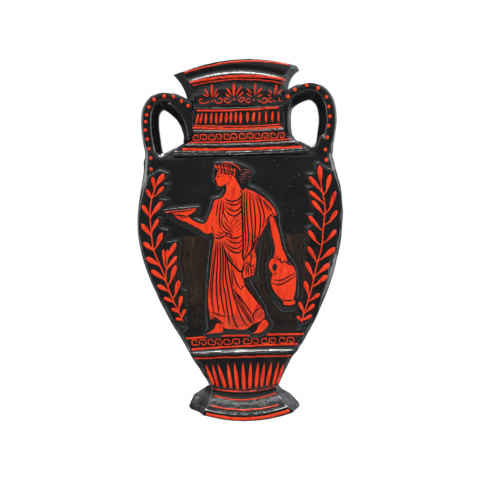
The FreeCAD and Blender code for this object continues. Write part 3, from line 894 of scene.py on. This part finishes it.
# Figure. The head is a plain classical profile: hairline, brow, nose and chin a third of the face apart
figure = {
    "gown": [
        (-36, 650), (-36, 638), (-42, 625), (-50, 617), (-62, 613), (-70, 610), (-74, 596), (-80, 580),
        (-88, 562), (-96, 549), (-105, 547), (-118, 551), (-130, 557), (-138, 564), (-146, 571),
        (-158, 574), (-168, 578), (-180, 580), (-186, 578), (-178, 569), (-166, 560), (-150, 554),
        (-130, 543), (-112, 533), (-98, 522), (-88, 520), (-78, 524), (-72, 512), (-73, 500), (-78, 470),
        (-82, 440), (-88, 395), (-93, 350), (-94, 320), (-91, 302), (-90, 284), (-76, 282), (-62, 274),
        (-54, 262), (-48, 257), (-25, 255), (0, 253), (14, 256), (26, 266), (36, 270), (52, 276),
        (61, 286), (58, 302), (50, 314), (34, 336), (18, 358), (8, 374), (4, 394), (14, 397), (24, 399),
        (35, 403), (39, 425), (41, 450), (38, 472), (44, 492), (52, 507), (62, 524), (72, 541), (80, 557),
        (88, 562), (101, 566), (98, 577), (88, 593), (74, 608), (58, 621), (42, 631), (26, 639), (16, 642),
        (10, 634), (3, 644), (-4, 656), (-8, 668), (-12, 662), (-24, 652),
    ],
    "arm": [
        (80, 548), (84, 530), (89, 505), (94, 484), (95, 468), (90, 452), (96, 446), (104, 440),
        (112, 436), (118, 436), (122, 434), (128, 440), (124, 452), (120, 462), (114, 475), (110, 495),
        (104, 522), (97, 548), (92, 560), (85, 560),
    ],
    "jug": [
        (90, 448), (80, 440), (76, 428), (80, 414), (86, 404), (83, 392), (82, 376), (88, 360), (97, 346),
        (112, 330), (114, 318), (130, 316), (146, 320), (145, 328), (140, 332), (147, 352), (150, 374),
        (151, 392), (149, 410), (142, 424), (130, 433), (114, 438), (102, 446),
    ],
    "leftFoot": [
        (-103, 243), (-88, 250), (-78, 258), (-74, 268), (-67, 271), (-60, 268), (-56, 258), (-55, 249),
        (-62, 246), (-84, 245),
    ],
    "rightFoot": [
        (27, 241), (36, 248), (44, 262), (54, 274), (62, 278), (70, 268), (69, 262), (62, 253), (52, 245),
        (40, 241),
    ],
    "face": [
        (-57, 690), (-60, 686), (-61.5, 680), (-64, 675), (-67, 670), (-65.5, 668), (-62, 667),
        (-63.5, 664.5), (-61.8, 662.6), (-63, 660.5), (-60.5, 658), (-61, 655), (-58, 651.5), (-52, 650),
        (-44, 652), (-36, 655), (-34, 645), (-10, 640), (2, 646), (-4, 658), (-9, 668), (-14, 676),
        (-26, 680), (-42, 684),
    ],
    "bowl": [
        (-205, 583), (-190, 585), (-160, 587), (-120, 591), (-122, 586), (-132, 578), (-142, 573),
        (-160, 574), (-178, 578), (-190, 580), (-204, 580),
    ],
    "jugOpening": [(92, 434), (86, 426), (87, 416), (93, 411), (98, 418), (98, 428)],
}
figurePlate = plate([figure[area] for area in ("gown", "arm", "jug", "leftFoot", "rightFoot")], vaseSkin)
finish("figurePainted", figurePlate, redSlip, "red_figure")
facePlate = plate([figure[area] for area in ("face", "bowl")], vaseSkin)
finish("facePainted", facePlate, redSlip, "red_figure")
figureSkin = skinOf(vaseMeshes["belly"], vaseMeshes["figure_sprig"], figurePlate, facePlate)

# Folds of the dress and other drawn lines, each with its half width
foldLook = {"breadth": 1.6, "taper": 0.4, "steps": 4, "flatness": 0.2}
folds = [
    # neckline and the folds across the breast
    (1.4, (-42, 617), (-32, 610), (-15, 608), (0, 614), (8, 628)),
    (1.3, (-40, 606), (-25, 599), (-8, 598), (5, 609)),
    (1.3, (-40, 597), (-28, 585), (-12, 581), (3, 591), (8, 601)),
    (1.3, (-42, 590), (-33, 575), (-18, 567), (0, 575), (8, 588)),
    (1.2, (-47, 588), (-42, 568), (-31, 547)), (1.3, (-3, 574), (-28, 545)), (1.2, (3, 560), (-24, 536)),
    (1.2, (2, 547), (-21, 530)), (1.0, (-2, 566), (-14, 549)), (1.1, (4, 536), (-12, 524)),
    (1.3, (-53, 562), (-47, 541), (-36, 528), (-20, 522)), (1.2, (-44, 556), (-36, 540), (-24, 530)),
    # sleeve on the viewer's left
    (1.2, (-58, 611), (-62, 590), (-66, 566)),
    (1.2, (-49, 613), (-53, 592), (-57, 568), (-56, 545), (-52, 530)),
    (1.1, (-43, 609), (-46, 585), (-51, 560)), (1.0, (-80, 546), (-77, 532), (-72, 522)),
    # belt
    (1.4, (-76, 510), (-62, 506), (-46, 511), (-34, 516)), (1.0, (-71, 520), (-60, 513), (-50, 517)),
    (1.0, (-62, 526), (-52, 520), (-44, 523)), (1.3, (-52, 530), (-40, 521), (-27, 516), (-24, 508)),
    (0.9, (-48, 508), (-40, 516), (-36, 524)),
    # folds below the belt
    (1.3, (-40, 513), (-28, 508), (-10, 506), (4, 513)),
    (1.3, (-41, 505), (-25, 495), (-8, 492), (5, 500)),
    (1.3, (-47, 500), (-30, 483), (-10, 477), (5, 487)),
    (1.4, (-46, 492), (-30, 473), (-8, 465), (5, 473)),
    # the mantle's edge and its long folds
    (1.7, (9, 636), (6, 600), (7, 560), (7, 520), (7, 480), (5, 455), (9, 437)),
    (1.2, (15, 641), (13, 600), (13, 545), (14, 500), (12, 470)),
    (1.3, (22, 637), (19, 600), (20, 550), (22, 505), (18, 474), (9, 448)),
    (1.2, (29, 636), (29, 600), (31, 560), (33, 520), (32, 490), (27, 470)),
    (1.3, (35, 630), (40, 592), (42, 552), (40, 515), (36, 484)),
    (1.2, (43, 624), (52, 590), (56, 560), (53, 522), (46, 500)),
    (1.3, (51, 619), (62, 590), (67, 562), (62, 532)), (1.2, (59, 613), (74, 591), (81, 572)),
    (1.2, (67, 607), (84, 585), (92, 571)), (1.0, (46, 628), (58, 606), (62, 596)),
    (1.4, (98, 569), (86, 567), (77, 558), (70, 544)), (1.0, (34, 512), (42, 507), (47, 500)),
    (1.5, (50, 506), (40, 492), (34, 478), (22, 461), (9, 446)), (1.0, (28, 500), (35, 488), (33, 478)),
    # the hanging end of the mantle
    (1.2, (12, 437), (21, 433), (28, 427), (38, 434)),
    (1.2, (27, 468), (28, 450), (25, 430), (28, 411), (27, 397)), (1.1, (15, 431), (14, 416), (12, 401)),
    (1.0, (38, 452), (30, 456), (20, 460)), (1.0, (34, 428), (36, 414), (34, 404)),
    (1.0, (20, 430), (19, 415), (20, 402)),
    # the mantle's lower edge
    (1.8, (-46, 480), (-39, 456), (-28, 440), (-15, 424), (0, 413), (6, 424), (9, 437)),
    (1.5, (6, 424), (2, 410), (3, 398), (9, 388)), (1.3, (-37, 470), (-31, 455), (-20, 440)),
    # skirt
    (1.3, (-68, 500), (-70, 470), (-74, 440), (-79, 400), (-83, 350), (-82, 320), (-78, 303)),
    (1.3, (-62, 500), (-64, 470), (-66, 430), (-70, 390), (-70, 350), (-66, 310), (-65, 296)),
    (1.3, (-57, 500), (-57, 470), (-57, 430), (-60, 390), (-58, 350), (-52, 310), (-48, 292)),
    (1.3, (-52, 500), (-50, 470), (-50, 425), (-52, 390), (-46, 350), (-42, 310), (-38, 280), (-37, 262)),
    (1.4, (-48, 490), (-43, 450), (-44, 405), (-38, 362), (-32, 322), (-25, 282), (-18, 264), (-12, 257)),
    (1.4, (-41, 470), (-36, 430), (-31, 390), (-26, 360), (-15, 322), (-5, 291), (7, 269), (16, 259)),
    (1.2, (-30, 440), (-21, 402), (-10, 374), (-2, 362)),
    (1.3, (-24, 366), (-13, 346), (0, 322), (12, 297), (24, 276), (30, 264)),
    (1.3, (-20, 360), (-9, 346), (6, 325), (18, 306), (28, 291)),
    (1.2, (-22, 352), (-9, 326), (3, 303), (14, 283), (25, 268)),
    (1.2, (-29, 420), (-26, 392), (-24, 370)), (1.0, (-75, 470), (-80, 430), (-86, 380), (-88, 340)),
    (1.2, (10, 374), (3, 371), (-2, 362)), (1.3, (52, 311), (40, 306), (31, 296), (29, 284), (33, 271)),
    # hem borders
    (1.2, (-90, 303), (-76, 300), (-62, 293), (-46, 290)),
    (1.2, (-90, 288), (-76, 285), (-62, 277), (-52, 268)),
    # jug
    (1.3, (83, 378), (104, 374), (124, 382), (150, 398)),
    (1.1, (85, 388), (108, 386), (130, 396), (150, 405)), (1.4, (112, 331), (128, 329), (143, 331)),
    (1.2, (96, 447), (108, 442), (112, 434), (120, 438), (130, 430), (142, 426)),
    (1.1, (88, 405), (94, 403), (97, 408)), (1.0, (104, 452), (103, 445)), (1.0, (110, 449), (109, 441)),
    # hand and bowl
    (1.3, (-186, 577), (-172, 573), (-158, 572), (-142, 566)),
    (1.1, (-168, 570), (-160, 567), (-148, 566)), (1.4, (-198, 581), (-165, 583), (-124, 587)),
    # seams between arm, sleeve and neck
    (1.3, (80, 556), (82, 540), (84, 528)), (1.2, (2, 640), (5, 632), (9, 628)),
]
paint("figureFolds", [line(half * foldLook["breadth"], *points, taper=foldLook["taper"])
                      for half, *points in folds],
      figureSkin, ink, foldLook["steps"], foldLook["flatness"])
finish("jugHandleOpening", plate([figure["jugOpening"]], figureSkin), blackGlaze, "black_glaze")

# Lines of the head
faceLook = {"pupil": (-57.3, 676.8, 1.5), "steps": 3, "flatness": 0.3}
features = [
    (1.0, (-60, 682.5), (-55, 684), (-49, 682.5)),  # brow
    (0.95, (-60.5, 677.5), (-56, 679), (-51.5, 677)),  # upper eyelid
    (0.7, (-59.5, 675.3), (-56, 674.8), (-52, 676.5)),  # lower eyelid
    (0.85, (-62, 662.5), (-58.5, 662.2)),  # mouth
    (0.7, (-64, 668.5), (-61.5, 669.5)),  # nostril
    (0.8, (-27, 674), (-24, 677), (-22, 672), (-25, 667)),  # ear
    (0.9, (-38, 655.5), (-31, 656), (-25, 661)),  # jaw
]
paint("faceLines", [line(half, *points) for half, *points in features] + [dot(*faceLook["pupil"])],
      figureSkin, ink, faceLook["steps"], faceLook["flatness"])

# Thin borders along the hem, over the foot behind and round the jug's belly
borders = {
    "steps": 3, "flatness": 0.4,
    "hem": {"half": 1.0, "levels": (294, 287, 280, 273, 267),
            "line": ((-48, -3), (-20, -6), (5, -3), (26, 2))},
    "train": {"half": 0.9, "levels": (297, 292, 287), "line": ((-88, 0), (-76, -4), (-64, -9))},
    "heel": {"half": 0.9, "across": range(34, 58, 5), "slope": 0.4, "levels": (276, 290, 302)},
    "jug": {"half": 0.8, "across": range(84, 148, 9), "middle": 112, "levels": (380, 386),
            "slopes": (0.38, 0.36)},
}
thinLines = []
for part in (borders["hem"], borders["train"]):
    for level in part["levels"]:
        thinLines.append(line(part["half"], *[(x, level + rise) for x, rise in part["line"]]))
heel, jug = borders["heel"], borders["jug"]
for x in heel["across"]:
    low, middle, high = heel["levels"]
    lift = (x - heel["across"][0]) * heel["slope"]
    thinLines.append(line(heel["half"], (x - 3, low + lift), (x + 2, middle + lift), (x - 1, high)))
for x in jug["across"]:
    past = max(0, x - jug["middle"])
    low, high = [level + past * slope for level, slope in zip(jug["levels"], jug["slopes"])]
    thinLines.append(line(jug["half"], (x, low), (x + 4, high)))
paint("gownBorders", thinLines, figureSkin, thinGlaze, borders["steps"], borders["flatness"])

# Wreath and hair
wreath = {
    "half": 2.4,
    "leaves": [
        ((-57, 697), (-67, 709)), ((-50, 696), (-57, 710)), ((-43, 694), (-47, 709)),
        ((-34, 692), (-38, 707)), ((-26, 690), (-30, 704)), ((-18, 688), (-21, 701)),
        ((-11, 684), (-12, 699)), ((-58, 696), (-49, 690)), ((-47, 694), (-40, 687)),
        ((-37, 691), (-30, 685)), ((-27, 688), (-20, 682)), ((-16, 684), (-10, 678)),
    ],
    "bands": [(1.4, (-40, 717), (-26, 714), (-12, 708), (0, 699), (5, 690)),
              (0.8, (-50, 714), (-36, 710), (-20, 703))],
}
wreathStrokes = [leaf(base, tip, wreath["half"]) for base, tip in wreath["leaves"]]
paint("wreath", wreathStrokes + [line(half, *points) for half, *points in wreath["bands"]])
hairStrands = [
    (1.2, (10, 694), (20, 693), (30, 690), (36, 685), (33, 680)),
    (1.1, (8, 688), (16, 685), (25, 686), (30, 681)), (1.2, (4, 682), (11, 680), (18, 682), (24, 677)),
    (1.1, (26, 674), (32, 674), (36, 679)), (1.2, (1, 675), (8, 673), (14, 676), (21, 671)),
    (1.1, (1, 667), (8, 666), (14, 669), (19, 665)), (1.0, (3, 659), (9, 660), (14, 656)),
]
paint("hairStrands", [line(half, *points) for half, *points in hairStrands], material=thinGlaze, steps=3)
print("figure painted")

# Back
backFinish = {
    "magnet_upper": ferrite, "magnet_lower": ferrite, "adhesive_upper": adhesive, "adhesive_lower": adhesive,
}
for node, material in backFinish.items():
    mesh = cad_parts[node].data
    mesh.materials.clear()
    mesh.materials.append(material)
print("back finished")

# Stage
floorLook = {"size": 3.0, "gap": 0.00002, "tone": (0.86, 0.86, 0.86), "roughness": 0.9, "shadow": 0.3,
             "white": 1.34}


def mixed(nodes, links, share, under, over):
    mix = nodes.new("ShaderNodeMixShader")
    links.new(share, mix.inputs["Fac"])
    links.new(under.outputs[0], mix.inputs[1])
    links.new(over.outputs[0], mix.inputs[2])
    return mix


def makeFloorMaterial():
    # White to the camera but for the shadow, and unseen in the glaze, which mirrors the studio
    material = bpy.data.materials.new("floor")
    material.use_nodes = True
    nodes, links = material.node_tree.nodes, material.node_tree.links
    shader = nodes["Principled BSDF"]
    shader.inputs["Base Color"].default_value = (*floorLook["tone"], 1)
    shader.inputs["Roughness"].default_value = floorLook["roughness"]
    shader.inputs["Specular IOR Level"].default_value = 0.0
    rays = nodes.new("ShaderNodeLightPath")
    share = nodes.new("ShaderNodeMath")
    share.operation = "MULTIPLY"
    share.inputs[1].default_value = 1 - floorLook["shadow"]
    links.new(rays.outputs["Is Camera Ray"], share.inputs[0])
    white = nodes.new("ShaderNodeEmission")
    white.inputs["Strength"].default_value = floorLook["white"]
    lit = mixed(nodes, links, share.outputs[0], shader, white)
    clear = nodes.new("ShaderNodeBsdfTransparent")
    unseen = mixed(nodes, links, rays.outputs["Is Glossy Ray"], lit, clear)
    links.new(unseen.outputs[0], nodes["Material Output"].inputs["Surface"])
    return material


def layFloor():
    mesh = bpy.data.meshes.new("floor")
    shape = bmesh.new()
    bmesh.ops.create_grid(shape, x_segments=1, y_segments=1, size=floorLook["size"])
    bmesh.ops.translate(shape, verts=shape.verts, vec=(0, 0, cadBox[0][2] - floorLook["gap"]))
    shape.to_mesh(mesh)
    shape.free()
    mesh.materials.append(makeFloorMaterial())
    holderOf(mesh)


# What the glaze mirrors: a dark room in front with a brown table, white strips at the sides and a broad
# softbox overhead and behind
studio = {
    "ambient": 0.55,
    "ahead": [
        (0.0, (0.9, 0.9, 0.87)), (0.15, (1.5, 1.5, 1.43)), (0.33, (1.1, 1.1, 1.05)),
        (0.4, (0.12, 0.12, 0.12)), (0.58, (0.18, 0.19, 0.19)), (0.61, (0.5, 0.5, 0.48)),
        (0.78, (0.9, 0.9, 0.87)), (0.82, (2.4, 2.4, 2.35)), (0.95, (3.4, 3.4, 3.3)),
    ],
    "table": [(0.41, (0, 0, 0)), (0.44, (0.5, 0.5, 0.5)), (0.48, (1, 1, 1)), (0.494, (1, 1, 1)),
              (0.503, (0, 0, 0))],
    "tableHalf": (0.2, 0.3), "tableGrain": (34, 1, 5),
    "tableTones": [(0.42, (0.12, 0.05, 0.04)), (0.6, (1.8, 0.9, 0.5))],
    "left": [
        (0.0, (0.5, 0.5, 0.5)), (0.25, (0.8, 0.8, 0.8)), (0.36, (4.6, 4.6, 4.6)), (0.4, (5, 5, 5)),
        (0.41, (13, 13, 13)), (0.44, (13, 13, 13)), (0.45, (4.6, 4.6, 4.6)), (0.6, (4.6, 4.6, 4.6)),
        (0.68, (0.8, 0.8, 0.8)), (0.78, (0.14, 0.14, 0.14)), (1.0, (0.05, 0.05, 0.05)),
    ],
    "right": [
        (0.0, (0.5, 0.5, 0.5)), (0.25, (0.8, 0.8, 0.8)), (0.36, (5.0, 5.1, 5.2)), (0.4, (5.2, 5.3, 5.4)),
        (0.41, (13, 13, 13.5)), (0.44, (13, 13, 13.5)), (0.45, (5.0, 5.1, 5.2)), (0.6, (5.0, 5.1, 5.2)),
        (0.69, (0.9, 0.93, 1.0)), (0.75, (0.25, 0.26, 0.28)), (0.82, (0.3, 0.31, 0.33)),
        (0.86, (1.3, 1.35, 1.45)), (0.9, (0.35, 0.37, 0.4)), (1.0, (0.3, 0.32, 0.35)),
    ],
    "middle": (-0.1, 0.1),
    "below": [(0.2, (0.0, 0.0, 0.0)), (0.42, (1, 1, 1))], "belowTone": (0.15, 0.15, 0.15),
    "front": (-0.9, -0.7), "softboxAim": (0.0, 0.2, 0.98), "softboxRim": (0.82, 0.89),
    "softbox": (29.0, 29.0, 28.5), "haloRim": (0.52, 0.72), "halo": (1.15, 1.15, 1.12),
}


def blend(nodes, links, share, under, over):
    node = nodes.new("ShaderNodeMix")
    node.data_type = "RGBA"
    links.new(share, node.inputs[0])
    for socket, tone in ((node.inputs[6], under), (node.inputs[7], over)):
        if isinstance(tone, tuple):
            socket.default_value = (*tone, 1)
        else:
            links.new(tone, socket)
    return node.outputs[2]


def mirroredRoom(nodes, links):
    heading = nodes.new("ShaderNodeTexCoord").outputs["Generated"]
    split = nodes.new("ShaderNodeSeparateXYZ")
    links.new(heading, split.inputs[0])
    rise = between(nodes, links, split.outputs["Z"], -1, 1)
    depth = between(nodes, links, split.outputs["Y"], -1, 1)
    toRight = between(nodes, links, split.outputs["X"], *studio["middle"])
    around = blend(nodes, links, toRight, ramp(nodes, links, depth, studio["left"]),
                   ramp(nodes, links, depth, studio["right"]))
    sides = blend(nodes, links, ramp(nodes, links, rise, studio["below"]), studio["belowTone"], around)
    grain = noise(nodes, links, stretch(nodes, links, heading, studio["tableGrain"]), 1.0, 3, 0.8)
    offCentre = nodes.new("ShaderNodeMath")
    offCentre.operation = "ABSOLUTE"
    links.new(split.outputs["X"], offCentre.inputs[0])
    beside = between(nodes, links, offCentre.outputs[0], *studio["tableHalf"])
    onTable = blend(nodes, links, beside, ramp(nodes, links, rise, studio["table"]), (0, 0, 0))
    front = blend(nodes, links, onTable, ramp(nodes, links, rise, studio["ahead"]),
                  ramp(nodes, links, grain, studio["tableTones"]))
    room = blend(nodes, links, between(nodes, links, split.outputs["Y"], *studio["front"]), front, sides)
    toward = nodes.new("ShaderNodeVectorMath")
    toward.operation = "DOT_PRODUCT"
    toward.inputs[1].default_value = Vector(studio["softboxAim"]).normalized()
    links.new(heading, toward.inputs[0])
    nearness = toward.outputs["Value"]
    lit = blend(nodes, links, between(nodes, links, nearness, *studio["haloRim"]), room, studio["halo"])
    atSoftbox = between(nodes, links, nearness, *studio["softboxRim"])
    return blend(nodes, links, atSoftbox, lit, studio["softbox"])


def makeStudio():
    # The camera sees white, glossy surfaces mirror the room, and all else has an even light
    world = bpy.data.worlds.new("studio")
    scene.world = world
    world.use_nodes = True
    nodes, links = world.node_tree.nodes, world.node_tree.links
    nodes.clear()
    reflected = nodes.new("ShaderNodeBackground")
    links.new(mirroredRoom(nodes, links), reflected.inputs["Color"])
    plain = nodes.new("ShaderNodeBackground")
    plain.inputs["Color"].default_value = (1, 1, 1, 1)
    plain.inputs["Strength"].default_value = studio["ambient"]
    backdrop = nodes.new("ShaderNodeBackground")
    backdrop.inputs["Color"].default_value = (1, 1, 1, 1)
    rays = nodes.new("ShaderNodeLightPath")
    seenInGloss = mixed(nodes, links, rays.outputs["Is Glossy Ray"], plain, reflected)
    seen = mixed(nodes, links, rays.outputs["Is Camera Ray"], seenInGloss, backdrop)
    output = nodes.new("ShaderNodeOutputWorld")
    links.new(seen.outputs[0], output.inputs["Surface"])


lamps = {
    "overhead": {"at": (0.0, -0.2, 0.62), "size": (0.9, 0.35), "watts": 3.0},
    "left": {"at": (-0.62, -0.3, 0.12), "size": (0.25, 0.7), "watts": 0.5},
    "right": {"at": (0.62, -0.3, 0.12), "size": (0.25, 0.7), "watts": 0.6},
}


def hang(name, at, size, watts):
    light = bpy.data.lights.new(name, "AREA")
    light.shape = "RECTANGLE"
    light.size, light.size_y = size
    light.energy = watts
    holder = holderOf(light)
    holder.location = at
    holder.rotation_euler = Vector(at).to_track_quat("Z", "Y").to_euler()


view = {"distance": 0.405, "lens": 119.9, "sensor": 36, "across": -0.00015, "up": 0.0018, "roll": 1.5}


def setCamera():
    camera = holderOf(bpy.data.cameras.new("camera"))
    camera.data.lens = view["lens"]
    camera.data.sensor_width = view["sensor"]
    camera.location = (view["across"], -view["distance"], view["up"])
    camera.rotation_euler = (math.radians(90), math.radians(view["roll"]), 0)
    scene.camera = camera
    scene.view_settings.view_transform = "Standard"


layFloor()
makeStudio()
for name, lamp in lamps.items():
    hang(name, **lamp)
setCamera()
print("stage set")
